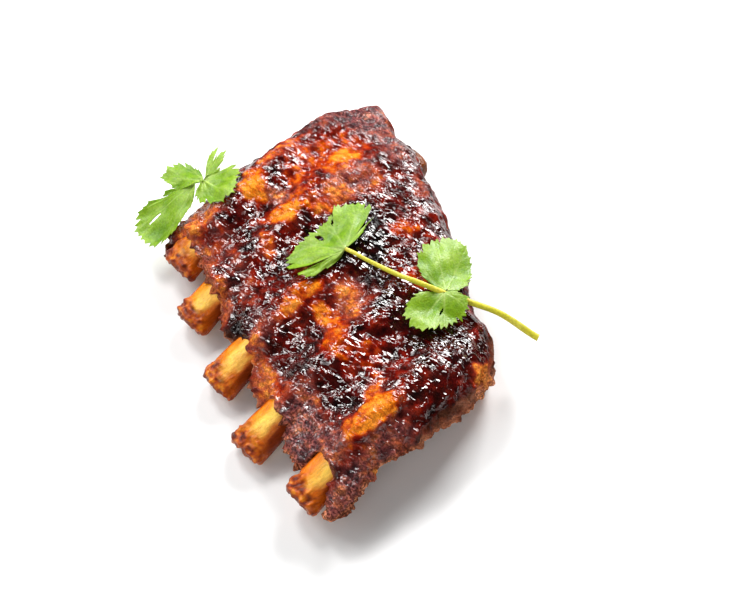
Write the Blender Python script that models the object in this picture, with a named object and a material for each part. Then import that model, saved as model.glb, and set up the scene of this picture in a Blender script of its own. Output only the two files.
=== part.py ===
"""A short rack of glazed pork back ribs, five bones wide, with two sprigs of coriander lying on it.

Row frame: X runs along the rack, from its far end to its near end, and crosses the bones. Y runs
from the bones' free tips to the thick loin edge. Z is up, and the rack rests on Z = 0, on its tips and
on its loin edge. The origin is under the middle of the whole.

Slab coordinates (s, t) lie in the plan of the rack: s runs along the rack, with the first bone near
0, and t runs along a bone, with the free tips near 0. The bones lean by SKEW, as they do in a real
rack, so a point (s, t) lands at x = s - t sin(SKEW), y = t cos(SKEW).
"""

from math import atan2, cos, exp, hypot, pi, radians, sin, sqrt

import bmesh
import bpy
from mathutils import Vector, noise

MM = 0.001

# Bones: where each lies along s, and where its free tip and its loin end lie along t
BONE_PLACES = [1 * MM, 23 * MM, 52 * MM, 80 * MM, 111 * MM]
BONE_TIPS = [8 * MM, 3 * MM, 1 * MM, 0 * MM, 8.5 * MM]
BONE_ENDS = [93 * MM, 115.5 * MM, 105 * MM, 95 * MM, 86 * MM]
BONE_WIDTH = 14 * MM
BONE_THICKNESS = 9.5 * MM
BONE_SIDES = 12
BONE_RINGS = 9
BONE_CHAMFER = 1.2 * MM
BONE_WANDER = 1.2 * MM
SECTION_POWER = 2.6
SKEW = radians(16)
TUNNEL_GAP = 0.45 * MM

# The curve of the ribs: an arc over t, and the droop of the two loin corners
ARCH_RADIUS = 123 * MM
ARCH_CREST = 62 * MM
NEAR_DROOP = 5 * MM
FAR_DROOP = 3.5 * MM

# Meat
FAR_END = -16 * MM
NEAR_END = 125 * MM
TIP_EDGE = 12.5 * MM
LOIN_EDGE = 117 * MM
LOIN_TAPER = 17 * MM
ABOVE_BONE_TIP = 7 * MM
ABOVE_BONE_LOIN = 13 * MM
BELOW_BONE_TIP = 7.5 * MM
BELOW_BONE_LOIN = 13 * MM
RIM_RADIUS = 8 * MM
LEAST_THICKNESS = 1 * MM
CORNER_ROUNDING = 0.34
VALLEY_DEPTH = 2.2 * MM
LUMP_SIZE = 22 * MM
LUMP_HEIGHT = 2 * MM
COLUMNS = 44
ROWS = 26

# Coriander
LEAF_THICKNESS = 0.7 * MM
LEAF_LIFT = 1.9 * MM
LEAF_STEP = 0.3 * MM
LEAF_ROOT = 1.2 * MM
STEM_RADIUS = 1.3 * MM
STEM_SIDES = 8
STEM_LIFT = 2.6 * MM
LEAF_RINGS = [0.42, 0.74, 1.0]
INNER_REACH = 0.9
CLEFT_DEPTH = 0.26
TOOTH_DEPTH = 0.11

# Each sprig, in slab coordinates in millimetres: the points its stem runs through, the number of pieces
# in the stem, and its leaflets. A leaflet has a root, a tip, half its fan's angle in degrees, its number
# of teeth and the share of CLEFT_DEPTH that its lobes are cut to.
SPRIGS = {
    "sprig_long": (
        [(49, 64), (66, 71.5), (82, 82.5), (96, 96.5), (121, 117)],
        16,
        [
            ((49, 64), (40, 79), 42, 7, 1),
            ((49, 64), (43.5, 42), 36, 7, 1),
            ((89, 89), (71, 99), 42, 8, 0.6),
            ((89, 89), (97, 73), 56, 8, 0.6),
        ],
    ),
    "sprig_short": (
        [(-15, 27), (-12.5, 29.5), (-9, 33)],
        4,
        [
            ((-12, 29), (-34, 19), 28, 6, 0.4),
            ((-12, 29), (-18, 0), 28, 7, 1),
            ((-12, 30), (-6, 44), 70, 8, 1),
        ],
    ),
}


def smooth(low, high, value):
    """0 at low and before it, 1 at high and past it, and an S-curve between them."""
    share = min(1.0, max(0.0, (value - low) / (high - low)))
    return share * share * (3 - 2 * share)


def bump(centre, width, value):
    """A bell of height 1 about centre."""
    return exp(-(((value - centre) / width) ** 2))


def spine(s, t):
    """Height of the bones' centreline, against the crest of the arch."""
    arch = sqrt(ARCH_RADIUS**2 - (t - ARCH_CREST) ** 2) - ARCH_RADIUS
    near = NEAR_DROOP * smooth(60 * MM, 125 * MM, s) * smooth(40 * MM, 95 * MM, t)
    far = FAR_DROOP * smooth(20 * MM, -16 * MM, s) * smooth(75 * MM, 110 * MM, t)
    return arch - near - far


def place(s, t, z):
    """The point in the row frame, before the whole rack is set down on its origin."""
    return Vector((s - t * sin(SKEW), t * cos(SKEW), z))


def lumps(s, t, seed):
    """Slow unevenness of the meat, from -1 to 1."""
    return noise.noise(Vector((s / LUMP_SIZE, t / LUMP_SIZE, seed)))


def over_bone(s):
    """1 over the middle of a bone, falling to 0 half way to the next one."""
    nearest = min(abs(s - bone) for bone in BONE_PLACES)
    return 0.5 + 0.5 * cos(pi * min(1.0, nearest / (13 * MM)))


def tip_edge(s):
    """Where the meat ends, short of the bones' free tips: it has drawn back along each bone."""
    drawn_back = 2.5 * MM * over_bone(s) + 5 * MM * bump(110 * MM, 6 * MM, s)
    far_flap = -12 * MM * smooth(1 * MM, -9 * MM, s)
    near_flap = -3 * MM * smooth(116 * MM, 125 * MM, s)
    return TIP_EDGE + drawn_back + far_flap + near_flap + 2.5 * MM * lumps(s, 0, 3.1)


def loin_edge(s):
    """Where the meat ends past the bones' loin ends: the slab narrows towards its near end."""
    taper = LOIN_TAPER * min(1.0, max(0.0, (s - 35 * MM) / (90 * MM)))
    return LOIN_EDGE - taper - 2.0 * MM * (1 - over_bone(s)) + 3 * MM * lumps(s, 0.1, 7.7)


def far_end(t):
    hollow = 4 * MM * bump(68 * MM, 24 * MM, t) + 3 * MM * bump(112 * MM, 20 * MM, t)
    return FAR_END + hollow + 2 * MM * lumps(0.2, t, 1.3)


def near_end(t):
    swell = 6 * MM * bump(22 * MM, 18 * MM, t) + 3 * MM * bump(95 * MM, 22 * MM, t)
    return NEAR_END + swell + 2.5 * MM * lumps(0.3, t, 5.9)


def top_height(s, t):
    """Height of the meat's upper surface above the bones' centreline, away from the edge."""
    along = smooth(20 * MM, 95 * MM, t)
    full = ABOVE_BONE_TIP + (ABOVE_BONE_LOIN - ABOVE_BONE_TIP) * along
    valley = VALLEY_DEPTH * (1 - over_bone(s)) * (1 - 0.5 * along)
    return full - valley + LUMP_HEIGHT * lumps(s, t, 0.5)


def bottom_depth(s, t):
    """Depth of the meat's bony side below the bones' centreline, away from the edge."""
    along = smooth(35 * MM, 100 * MM, t)
    full = BELOW_BONE_TIP + (BELOW_BONE_LOIN - BELOW_BONE_TIP) * along
    return full - 1.6 * MM * (1 - over_bone(s)) * (1 - along) + 1 * MM * lumps(s, t, 9.5)


def meat_top(s, t):
    """Height of the meat's upper surface, carried on smoothly past the edge."""
    return spine(s, t) + top_height(s, t)


def rim(distance):
    """Share of the full thickness at this distance from the edge, for a rounded edge."""
    share = min(1.0, max(0.0, distance / RIM_RADIUS))
    return sqrt(1 - (1 - share) ** 2)


def grid_line(number, count):
    """From -1 to 1, in steps that are finer near both ends."""
    even = 2 * number / count - 1
    return 0.45 * even + 0.55 * sin(pi / 2 * even)


def plan_point(column, row):
    """s, t and the share of the full thickness at a grid point, on a grid with rounded corners."""
    across, along = grid_line(column, COLUMNS), grid_line(row, ROWS)
    p = across * sqrt(1 - CORNER_ROUNDING * along**2 / 2)
    q = along * sqrt(1 - CORNER_ROUNDING * across**2 / 2)
    rough_t = TIP_EDGE + (LOIN_EDGE - TIP_EDGE) * (q + 1) / 2
    s = far_end(rough_t) + (near_end(rough_t) - far_end(rough_t)) * (p + 1) / 2
    t = tip_edge(s) + (loin_edge(s) - tip_edge(s)) * (q + 1) / 2
    from_end = (1 - abs(across)) * (near_end(t) - far_end(t)) / 2
    from_side = (1 - abs(along)) * (loin_edge(s) - tip_edge(s)) / 2
    return s, t, rim(from_end) * rim(from_side)


def finish_mesh(name, bm, colour, roughness):
    """A named object with its own material from a filled bmesh, smooth-shaded."""
    bmesh.ops.triangulate(bm, faces=bm.faces)
    bmesh.ops.recalc_face_normals(bm, faces=bm.faces)
    mesh = bpy.data.meshes.new(name)
    bm.to_mesh(mesh)
    bm.free()
    mesh.shade_smooth()
    mesh.set_sharp_from_angle(angle=radians(50))
    obj = bpy.data.objects.new(name, mesh)
    bpy.context.scene.collection.objects.link(obj)
    material = bpy.data.materials.new(name)
    material.use_nodes = True
    shader = material.node_tree.nodes["Principled BSDF"]
    shader.inputs["Base Color"].default_value = (*colour, 1)
    shader.inputs["Roughness"].default_value = roughness
    shader.inputs["Metallic"].default_value = 0.0
    mesh.materials.append(material)
    return obj


def loft(name, rings, colour, roughness):
    """A closed solid through rings of points, with a flat face over the first and the last."""
    bm = bmesh.new()
    rings = [[bm.verts.new(point) for point in ring] for ring in rings]
    for first, second in zip(rings, rings[1:]):
        for step in range(len(first)):
            after = (step + 1) % len(first)
            bm.faces.new([first[step], first[after], second[after], second[step]])
    bm.faces.new(rings[0])
    bm.faces.new(rings[-1])
    return finish_mesh(name, bm, colour, roughness)


def make_meat(floor):
    """The slab of meat, resting at height floor: an upper and a lower skin that meet at a round edge."""
    bm = bmesh.new()
    upper, lower = {}, {}
    for column in range(COLUMNS + 1):
        for row in range(ROWS + 1):
            s, t, share = plan_point(column, row)
            top, bottom = top_height(s, t), bottom_depth(s, t)
            middle = spine(s, t) + 0.5 * (top - bottom)
            half = 0.5 * (top + bottom) * share
            upper[column, row] = bm.verts.new(place(s, t, max(middle + half, floor + LEAST_THICKNESS)))
            if column in (0, COLUMNS) or row in (0, ROWS):
                lower[column, row] = upper[column, row]
            else:
                lower[column, row] = bm.verts.new(place(s, t, max(middle - half, floor)))
    for column in range(COLUMNS):
        for row in range(ROWS):
            corners = [(column, row), (column + 1, row), (column + 1, row + 1), (column, row + 1)]
            bm.faces.new([upper[corner] for corner in corners])
            bm.faces.new([lower[corner] for corner in reversed(corners)])
    return finish_mesh("meat", bm, (0.16, 0.035, 0.012), 0.3)


def bone_ring(index, t, grow, shrink):
    """One ring of a bone: a flat rounded section, square to the curve of the ribs."""
    swell = 1 + 0.10 * bump(BONE_TIPS[index], 14 * MM, t) + 0.12 * bump(BONE_ENDS[index], 18 * MM, t)
    half_width = 0.5 * BONE_WIDTH * swell * shrink + grow
    half_thickness = 0.5 * BONE_THICKNESS * swell * shrink + grow
    slope = atan2(spine(BONE_PLACES[index], t + MM) - spine(BONE_PLACES[index], t - MM), 2 * MM)
    side = Vector((cos(SKEW), sin(SKEW), 0))
    up = Vector((sin(SKEW) * sin(slope), -cos(SKEW) * sin(slope), cos(slope)))
    wander = BONE_WANDER * lumps(index, t, 4.2)
    centre = place(BONE_PLACES[index] + wander, t, spine(BONE_PLACES[index], t))
    ring = []
    for step in range(BONE_SIDES):
        angle = 2 * pi * (step + 0.5) / BONE_SIDES
        x, z = cos(angle), sin(angle)
        reach = (abs(x) ** SECTION_POWER + abs(z) ** SECTION_POWER) ** (-1 / SECTION_POWER)
        ring.append(centre + side * (half_width * reach * x) + up * (half_thickness * reach * z))
    return ring


def make_bone(index):
    """A rib, with its sawn ends a little chamfered."""
    start, end = BONE_TIPS[index], BONE_ENDS[index]
    inner = end - start - 2 * BONE_CHAMFER
    stations = [start + BONE_CHAMFER + inner * step / BONE_RINGS for step in range(BONE_RINGS + 1)]
    rings = [bone_ring(index, start, 0, 0.84)]
    rings += [bone_ring(index, t, 0, 1) for t in stations]
    rings.append(bone_ring(index, end, 0, 0.84))
    return loft(f"bone_{index + 1}", rings, (0.72, 0.42, 0.14), 0.45)


def cut_tunnel(meat, index):
    """Cuts the hole that a bone runs through, a little wider than the bone and open at its free tip."""
    start, end = BONE_TIPS[index] - 20 * MM, BONE_ENDS[index] + TUNNEL_GAP
    count = BONE_RINGS + 2
    stations = [start + (end - start) * step / count for step in range(count + 1)]
    rings = [bone_ring(index, t, TUNNEL_GAP, 1) for t in stations]
    cutter = loft(f"cutter_{index + 1}", rings, (1, 1, 1), 1)
    add_boolean(meat, cutter, "DIFFERENCE")
    return cutter


def add_boolean(obj, other, operation):
    """Joins other to obj or cuts it away, and hides it as a helper."""
    other.hide_render = True
    other.display_type = "WIRE"
    modifier = obj.modifiers.new(other.name, "BOOLEAN")
    modifier.operation = operation
    modifier.object = other


def slab_point(point):
    """The place in the plan of a point given in slab coordinates, in millimetres."""
    return place(point[0] * MM, point[1] * MM, 0)


def drape(plan_x, plan_y, lift):
    """The point over a point of the plan that floats this far above the meat."""
    t = plan_y / cos(SKEW)
    s = plan_x + t * sin(SKEW)
    return Vector((plan_x, plan_y, meat_top(s, t) + lift))


def leaf_reach(share, teeth, lobes):
    """A leaflet's reach against its length, at this share of its fan, -1 to 1: three toothed lobes."""
    fan = 0.80 + 0.20 * cos(share * pi / 2)
    cleft = CLEFT_DEPTH * max(bump(-1 / 3, 0.07, share), bump(1 / 3, 0.07, share)) * lobes
    tooth = TOOTH_DEPTH * (0.5 - 0.5 * cos(pi * teeth * (share + 1)))
    return fan * (1 - cleft) - tooth


def outline(rings):
    """The points round the border of a fan, whose first ring is its apex."""
    out = [ring[0] for ring in rings]
    back = [ring[-1] for ring in rings[:0:-1]]
    return out + rings[-1][1:-1] + back


def make_leaf(name, lift, base, tip, spread, teeth, lobes):
    """A leaflet: a thin solid that fans out from base to tip, in slab coordinates, and drapes on the meat."""
    bm = bmesh.new()
    start, end = slab_point(base), slab_point(tip)
    heading = atan2(end.y - start.y, end.x - start.x)
    start -= LEAF_ROOT * Vector((cos(heading), sin(heading), 0))
    length = hypot(end.x - start.x, end.y - start.y)
    steps = 2 * teeth
    sheets = []
    for offset in (LEAF_THICKNESS / 2, -LEAF_THICKNESS / 2):
        rings = [[bm.verts.new(drape(start.x, start.y, lift + offset))]]
        for share_out in LEAF_RINGS:
            ring = []
            for step in range(steps + 1):
                share = 2 * step / steps - 1
                full = leaf_reach(share, teeth, lobes) if share_out == 1 else INNER_REACH
                reach = length * share_out * full
                angle = heading + radians(spread) * share
                x, y = start.x + reach * cos(angle), start.y + reach * sin(angle)
                ring.append(bm.verts.new(drape(x, y, lift + offset)))
            rings.append(ring)
        sheets.append(rings)
    for rings, turned in ((sheets[0], False), (sheets[1], True)):
        for inner, outer in zip(rings, rings[1:]):
            for step in range(steps):
                if len(inner) == 1:
                    face = [inner[0], outer[step], outer[step + 1]]
                else:
                    face = [inner[step], outer[step], outer[step + 1], inner[step + 1]]
                bm.faces.new(face[::-1] if turned else face)
    upper_edge, lower_edge = (outline(rings) for rings in sheets)
    count = len(upper_edge)
    for step in range(count):
        after = (step + 1) % count
        bm.faces.new([upper_edge[step], lower_edge[step], lower_edge[after], upper_edge[after]])
    return finish_mesh(name, bm, (0.13, 0.38, 0.03), 0.5)


def stem_path(points, count):
    """Points along a smooth curve through the given ones."""
    ends = [points[0], *points, points[-1]]
    found = []
    for number in range(count + 1):
        place_on = (len(points) - 1) * number / count
        first = min(int(place_on), len(points) - 2)
        u = place_on - first
        a, b, c, d = (Vector(point) for point in ends[first : first + 4])
        bend = (2 * a - 5 * b + 4 * c - d) * u**2 + (3 * b - a - 3 * c + d) * u**3
        found.append((2 * b + (c - a) * u + bend) / 2)
    return found


def make_stem(name, points, count):
    """A round stem that lies on the meat, through points given in slab coordinates."""
    plan = [slab_point(point) for point in stem_path(points, count)]
    centres = [drape(point.x, point.y, STEM_LIFT) for point in plan]
    rings = []
    for number, centre in enumerate(centres):
        ahead = centres[min(number + 1, count)] - centres[max(number - 1, 0)]
        side = ahead.cross(Vector((0, 0, 1))).normalized()
        up = side.cross(ahead).normalized()
        radius = STEM_RADIUS * (0.8 + 0.35 * number / count)
        angles = [2 * pi * (step + 0.5) / STEM_SIDES for step in range(STEM_SIDES)]
        rings.append([centre + (side * cos(angle) + up * sin(angle)) * radius for angle in angles])
    return loft(name, rings, (0.35, 0.50, 0.06), 0.4)


def make_sprig(name):
    """One sprig: a stem with its leaflets joined to it."""
    stem_points, stem_count, leaves = SPRIGS[name]
    stem = make_stem(name, stem_points, stem_count)
    helpers = []
    for number, leaf in enumerate(leaves):
        helper = make_leaf(f"{name}_leaf_{number + 1}", LEAF_LIFT + LEAF_STEP * number, *leaf)
        add_boolean(stem, helper, "UNION")
        helpers.append(helper)
    return stem, helpers


def set_down(pieces, helpers):
    """Moves everything so that the origin is under the middle of the pieces, at their lowest point."""
    bpy.context.view_layer.update()
    graph = bpy.context.evaluated_depsgraph_get()
    meshes = [piece.evaluated_get(graph).data for piece in pieces]
    points = [vertex.co.copy() for mesh in meshes for vertex in mesh.vertices]
    low = Vector([min(point[axis] for point in points) for axis in range(3)])
    high = Vector([max(point[axis] for point in points) for axis in range(3)])
    for obj in pieces + helpers:
        obj.location = Vector((-(low.x + high.x) / 2, -(low.y + high.y) / 2, -low.z))


def main():
    for obj in list(bpy.data.objects):
        bpy.data.objects.remove(obj)
    bones = [make_bone(index) for index in range(len(BONE_PLACES))]
    floor = min(vertex.co.z for bone in bones for vertex in bone.data.vertices)
    meat = make_meat(floor)
    cutters = [cut_tunnel(meat, index) for index in range(len(BONE_PLACES))]
    sprigs, leaves = zip(*(make_sprig(name) for name in SPRIGS))
    set_down([meat, *bones, *sprigs], [*cutters, *leaves[0], *leaves[1]])


main()
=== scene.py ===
"""The looks of a short rack of glazed pork ribs with two coriander sprigs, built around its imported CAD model.

Slab coordinates (s, t) lie in the plan of the rack, in millimetres: s runs along the rack, with the first bone
near 0, and t runs along a bone from its free tip. The bones lean by SKEW against the row frame's Y axis.
Meshes are in metres. The amounts and sizes of noises, and the heights and places of the relief, are in millimetres.
"""

from itertools import product
from math import atan2, cos, exp, pi, radians, sin

import bpy
import numpy as np
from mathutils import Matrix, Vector
from mathutils.bvhtree import BVHTree


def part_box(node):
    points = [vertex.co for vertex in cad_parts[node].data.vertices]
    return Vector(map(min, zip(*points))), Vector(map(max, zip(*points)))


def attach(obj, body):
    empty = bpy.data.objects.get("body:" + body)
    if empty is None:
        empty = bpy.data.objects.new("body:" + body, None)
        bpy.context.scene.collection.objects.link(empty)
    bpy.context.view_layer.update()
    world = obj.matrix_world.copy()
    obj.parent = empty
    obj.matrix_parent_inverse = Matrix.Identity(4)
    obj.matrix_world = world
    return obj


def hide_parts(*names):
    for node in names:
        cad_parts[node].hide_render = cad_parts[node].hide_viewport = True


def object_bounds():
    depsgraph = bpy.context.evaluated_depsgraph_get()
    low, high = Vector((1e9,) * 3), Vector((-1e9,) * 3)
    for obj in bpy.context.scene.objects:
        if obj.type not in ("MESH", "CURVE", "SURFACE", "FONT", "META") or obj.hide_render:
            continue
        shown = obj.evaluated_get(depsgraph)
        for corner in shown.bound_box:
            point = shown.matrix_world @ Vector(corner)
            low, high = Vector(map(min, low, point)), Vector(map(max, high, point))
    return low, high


MM = 0.001
SKEW = radians(16)
SLAB_ZERO = (-0.041258, -0.055426)
BONE_PLACES = [1, 23, 52, 80, 111]  # s of the bones where they cross the middle of the slab

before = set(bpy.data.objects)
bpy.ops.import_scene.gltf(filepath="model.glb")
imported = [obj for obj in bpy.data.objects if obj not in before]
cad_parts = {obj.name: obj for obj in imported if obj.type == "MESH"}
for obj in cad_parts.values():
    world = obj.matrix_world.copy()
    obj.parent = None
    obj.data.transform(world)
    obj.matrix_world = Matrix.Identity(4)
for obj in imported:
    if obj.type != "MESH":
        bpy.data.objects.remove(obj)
cad_low, cad_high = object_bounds()
scene = bpy.context.scene


# ---------------------------------------------------------------- noise and fields

rng = np.random.default_rng(11)
GRADIENTS = rng.normal(size=(256, 3))
GRADIENTS /= np.linalg.norm(GRADIENTS, axis=1)[:, None]
SHUFFLE = rng.permutation(256)
SEED_STEP = 37.7  # how many lumps apart the noises of two seeds are read
NOISE_GAIN = 1.7  # brings the noise to about -1 to 1


def noise(points, size, seed=0.0):
    """Smooth gradient noise, about -1 to 1, at points given in metres, with lumps about size millimetres across."""
    p = np.asarray(points, float) / (np.asarray(size) * MM) + SEED_STEP * seed
    cell = np.floor(p).astype(np.int64)
    part = p - cell
    ease = part**3 * (part * (part * 6 - 15) + 10)
    total = np.zeros(len(p))
    for corner in np.ndindex(2, 2, 2):
        at = (cell + corner) & 255
        pick = SHUFFLE[(SHUFFLE[(SHUFFLE[at[:, 0]] + at[:, 1]) & 255] + at[:, 2]) & 255]
        weight = np.prod(np.where(corner, ease, 1 - ease), axis=1)
        total += weight * ((part - corner) * GRADIENTS[pick]).sum(1)
    return total * NOISE_GAIN


def layers(points, rows, base=0.0):
    """The base with several noises added to it, each given as (amount, size, seed)."""
    for amount, size, seed in rows:
        base = base + amount * noise(points, size, seed)
    return base


def ridged(points, size, seed=0.0):
    """1 along the creases of the noise, falling to 0."""
    return 1 - np.clip(np.abs(noise(points, size, seed)) * 2.2, 0, 1)


def smooth(low, high, value):
    """0 below low, 1 above high and a smooth step between."""
    share = np.clip((value - low) / (high - low), 0, 1)
    return share * share * (3 - 2 * share)


def bump(centre, width, value):
    """1 at the centre, falling to 0 to either side."""
    return np.exp(-(((value - centre) / width) ** 2))


def slab(points):
    """(s, t) in millimetres of points in the row frame."""
    t = (points[:, 1] - SLAB_ZERO[1]) / cos(SKEW)
    s = (points[:, 0] - SLAB_ZERO[0]) + t * sin(SKEW)
    return s / MM, t / MM


def row_point(s, t):
    """The plan point in the row frame, in metres, of slab coordinates."""
    return SLAB_ZERO[0] + (s - t * sin(SKEW)) * MM, SLAB_ZERO[1] + t * cos(SKEW) * MM


def patch(s, t, place):
    """A soft oval, 1 at its middle: place is its s, t, half length, half width and turn in degrees."""
    s0, t0, long, wide, turn = place
    c, d = cos(radians(turn)), sin(radians(turn))
    u = ((s - s0) * c + (t - t0) * d) / long
    v = (-(s - s0) * d + (t - t0) * c) / wide
    return np.exp(-(u * u + v * v) ** 1.5)


# ---------------------------------------------------------------- meshes

def link(name, mesh):
    obj = bpy.data.objects.new(name, mesh)
    scene.collection.objects.link(obj)
    return obj


def mesh_of(name, points, faces):
    mesh = bpy.data.meshes.new(name)
    mesh.from_pydata([tuple(p) for p in points], [], faces)
    mesh.update()
    return mesh


def points_of(mesh):
    co = np.empty(len(mesh.vertices) * 3, np.float32)
    mesh.vertices.foreach_get("co", co)
    return co.reshape(-1, 3).astype(float)


def normals_of(mesh):
    n = np.empty(len(mesh.vertices) * 3, np.float32)
    mesh.vertex_normals.foreach_get("vector", n)
    return n.reshape(-1, 3).astype(float)


def faces_of(mesh):
    return [list(face.vertices) for face in mesh.polygons]


def solid_of(node):
    """(points, faces) of a CAD node."""
    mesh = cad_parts[node].data
    return points_of(mesh), faces_of(mesh)


def edges_of(mesh):
    e = np.empty(len(mesh.edges) * 2, np.int32)
    mesh.edges.foreach_get("vertices", e)
    return e.reshape(-1, 2)


def set_points(mesh, points):
    mesh.vertices.foreach_set("co", points.astype(np.float32).ravel())
    mesh.update()


def relax(points, edges, rounds, share=0.5):
    """Moves each point towards the mean of its neighbours."""
    count = np.bincount(edges.ravel(), minlength=len(points))[:, None]
    for _ in range(rounds):
        total = np.zeros_like(points)
        for axis in range(points.shape[1]):
            total[:, axis] = np.bincount(edges[:, 0], points[edges[:, 1], axis], len(points))
            total[:, axis] += np.bincount(edges[:, 1], points[edges[:, 0], axis], len(points))
        points = points + share * (total / np.maximum(count, 1) - points)
    return points


def joined(parts):
    """The points and faces of several (points, faces) as one."""
    points, faces, start = [], [], 0
    for part_points, part_faces in parts:
        points.extend(part_points)
        faces.extend([[index + start for index in face] for face in part_faces])
        start += len(part_points)
    return points, faces


def remeshed(name, sources, voxel, rounds):
    """One closed and smoothed skin over all the sources, each given as (points, faces)."""
    helper = link(name + "_helper", mesh_of(name + "_helper", *joined(sources)))
    modifier = helper.modifiers.new("skin", "REMESH")
    modifier.mode = "VOXEL"
    modifier.voxel_size = voxel
    graph = bpy.context.evaluated_depsgraph_get()
    mesh = bpy.data.meshes.new_from_object(helper.evaluated_get(graph))
    mesh.name = name
    bpy.data.objects.remove(helper)
    set_points(mesh, relax(points_of(mesh), edges_of(mesh), rounds))
    return mesh


def store(mesh, name, values):
    """A named value or colour at each point, for the material."""
    if values.ndim == 1:
        attribute = mesh.attributes.new(name, "FLOAT", "POINT")
        attribute.data.foreach_set("value", values.astype(np.float32))
    else:
        colour = np.concatenate([values, np.ones((len(values), 1))], axis=1)
        attribute = mesh.attributes.new(name, "FLOAT_COLOR", "POINT")
        attribute.data.foreach_set("color", colour.astype(np.float32).ravel())


def blend_colours(stops, value):
    """Colours at value, from stops given as (place, (red, green, blue))."""
    places = [stop[0] for stop in stops]
    return np.stack([np.interp(value, places, [stop[1][c] for stop in stops]) for c in range(3)], axis=1)


def towards(colours, colour, share):
    """The colours moved towards another, or towards another list of them, by a share for each point."""
    share = np.clip(share, 0, 1)[:, None]
    return colours * (1 - share) + np.asarray(colour) * share


# ---------------------------------------------------------------- node materials

class Shader:
    """A Principled material with short calls for the nodes that feed it. The constants go by their sockets' names."""

    def __init__(self, name, **constants):
        self.material = bpy.data.materials.new(name)
        self.material.use_nodes = True
        self.tree = self.material.node_tree
        self.principled = self.tree.nodes["Principled BSDF"]
        for key, value in constants.items():
            self.principled.inputs[key.replace("_", " ")].default_value = value

    def add(self, kind, **settings):
        node = self.tree.nodes.new(kind)
        for key, value in settings.items():
            setattr(node, key, value)
        return node

    def link(self, source, target):
        self.tree.links.new(source, target)

    def feed(self, node, key, value):
        if hasattr(value, "is_output"):
            self.link(value, node.inputs[key])
        else:
            node.inputs[key].default_value = value

    def attribute(self, name, colour=False):
        node = self.add("ShaderNodeAttribute", attribute_name=name)
        return node.outputs["Color" if colour else "Fac"]

    def place(self, size, turn=0.0):
        """Coordinates in the row frame over a size in millimetres, one for all axes or three, turned about Z."""
        coordinates = self.add("ShaderNodeTexCoord").outputs["Object"]
        turned = self.add("ShaderNodeMapping", vector_type="POINT")
        self.link(coordinates, turned.inputs["Vector"])
        turned.inputs["Rotation"].default_value = (0, 0, -turn)
        scaled = self.add("ShaderNodeMapping", vector_type="POINT")
        self.link(turned.outputs["Vector"], scaled.inputs["Vector"])
        scaled.inputs["Scale"].default_value = tuple(1 / (MM * each) for each in np.broadcast_to(size, 3))
        return scaled.outputs["Vector"]

    def noise(self, place, detail=2.0, rough=0.5, warp=0.0):
        node = self.add("ShaderNodeTexNoise")
        self.link(place, node.inputs["Vector"])
        for key, number in (("Scale", 1.0), ("Detail", detail), ("Roughness", rough), ("Distortion", warp)):
            node.inputs[key].default_value = number
        return node.outputs["Fac"]

    def math(self, operation, a, b, c=0.0):
        node = self.add("ShaderNodeMath", operation=operation)
        for index, value in enumerate((a, b, c)):
            self.feed(node, index, value)
        return node.outputs["Value"]

    def times_plus(self, a, b, c):
        """a * b + c."""
        return self.math("MULTIPLY_ADD", a, b, c)

    def ramp(self, value, low, high, to_low, to_high):
        """A smooth step from to_low, where the value is low, to to_high, where it is high."""
        node = self.add("ShaderNodeMapRange", interpolation_type="SMOOTHSTEP")
        sockets = {"Value": value, "From Min": low, "From Max": high, "To Min": to_low, "To Max": to_high}
        for key, number in sockets.items():
            self.feed(node, key, number)
        return node.outputs["Result"]

    def mix(self, share, a, b):
        """A mix of two constant colours."""
        node = self.add("ShaderNodeMix", data_type="RGBA")
        self.link(share, node.inputs[0])
        node.inputs[6].default_value, node.inputs[7].default_value = (*a, 1), (*b, 1)
        return node.outputs[2]

    def shaded(self, colour, value):
        """The colour made lighter or darker."""
        node = self.add("ShaderNodeHueSaturation")
        self.link(colour, node.inputs["Color"])
        self.link(value, node.inputs["Value"])
        return node.outputs["Color"]

    def bump(self, height, distance, strength=1.0):
        node = self.add("ShaderNodeBump")
        self.link(height, node.inputs["Height"])
        node.inputs["Distance"].default_value = distance
        node.inputs["Strength"].default_value = strength
        return node.outputs["Normal"]

    def to(self, key, value):
        self.feed(self.principled, key, value)


def finish_piece(name, mesh, material, node):
    """Makes the mesh a piece of the visual model that stands for a CAD node."""
    mesh.materials.append(material)
    obj = link(name, mesh)
    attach(obj, "root")
    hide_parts(node)


# ---------------------------------------------------------------- meat

MEAT_VOXEL, MEAT_ROUNDS = 0.68 * MM, 8
TUNNEL_FILL = 0.8 * MM
TUNNEL_STARTS = (16.5, 16.5, 16.5, 16.5, 22.5)  # t where the meat closes round each bone
RELIEF_LEVEL = 0.15  # the relief's mean, taken off so that the slab keeps its size
TOP_ROOM = 1.5 * MM  # how far the relief may stand over the CAD slab
FLAT_FOOT = (0.6, 2.5)  # heights over the floor between which the relief fades in
RELIEF_RELAX = 0.3
FIBRES_LOST = 0.45  # the share of the fibres' relief that dry meat doesn't show
# The relief's parts, each as (height, size, seed)
LUMPS = ((0.80, 14, 1), (0.75, 7.5, 2))
PEBBLES = ((0.50, 3.8, 3), (0.24, 2.1, 4))
FIBRE_TURN = radians(27)
FIBRE_WANDER = ((1.6, 8, 5),)
FIBRE_CREASES = (0.20, (7, 3.0, 3.0), 6)
FIBRE_SWELLS = ((0.36, (5, 2.2, 2.2), 7),)
CREASES = (0.6, 16, 8)
DRY_GRAIN = ((0.22, 1.5, 10),)
EDGE_LUMPS, EDGE_TAGS = ((1.1, 3.4, 11),), (1.9, 2.1, 12)
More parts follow.
